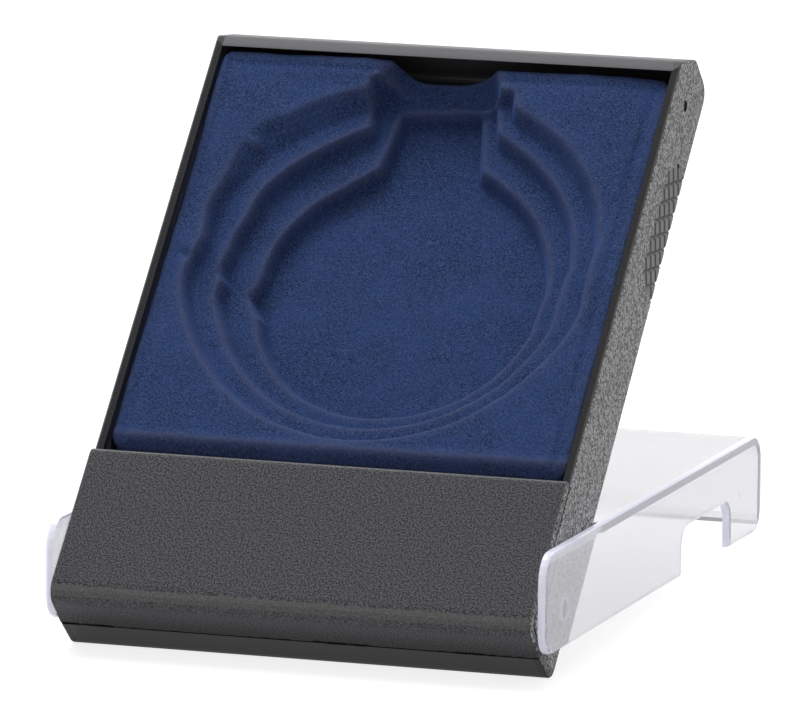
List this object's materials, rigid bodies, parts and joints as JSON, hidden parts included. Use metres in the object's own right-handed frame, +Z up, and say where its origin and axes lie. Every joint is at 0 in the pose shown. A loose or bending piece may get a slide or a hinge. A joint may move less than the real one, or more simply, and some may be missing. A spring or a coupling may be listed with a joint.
{
  "type": "medal display case",
  "caption": "Leaning black plastic medal case with a stepped navy flocked insert and a clear lid folded behind it as a stand.",
  "frame": {"origin": "middle of the object on the table, between its left and right and its front and back", "axes": "+X to the object's right, +Y from its open face towards the back of the folded lid, +Z up"},
  "size_m": [0.0872, 0.1278, 0.0901],
  "materials": {
    "black_plastic": "textured black moulding",
    "navy_flock": "short flock on a formed tray",
    "clear_plastic": "clear polished moulding"
  },
  "bodies": {
    "case": {"rear_shell": "black_plastic", "front_plate": "black_plastic", "insert_tray": "navy_flock"},
    "lid": {"clear_lid": "clear_plastic"}
  },
  "joints": [
    {"name": "lid_hinge", "type": "hinge", "parent": "case", "child": "lid", "pos_m": [0, -0.04947, 0.011], "axis": [-1, 0, 0], "range_deg": [0, 314]}
  ]
}
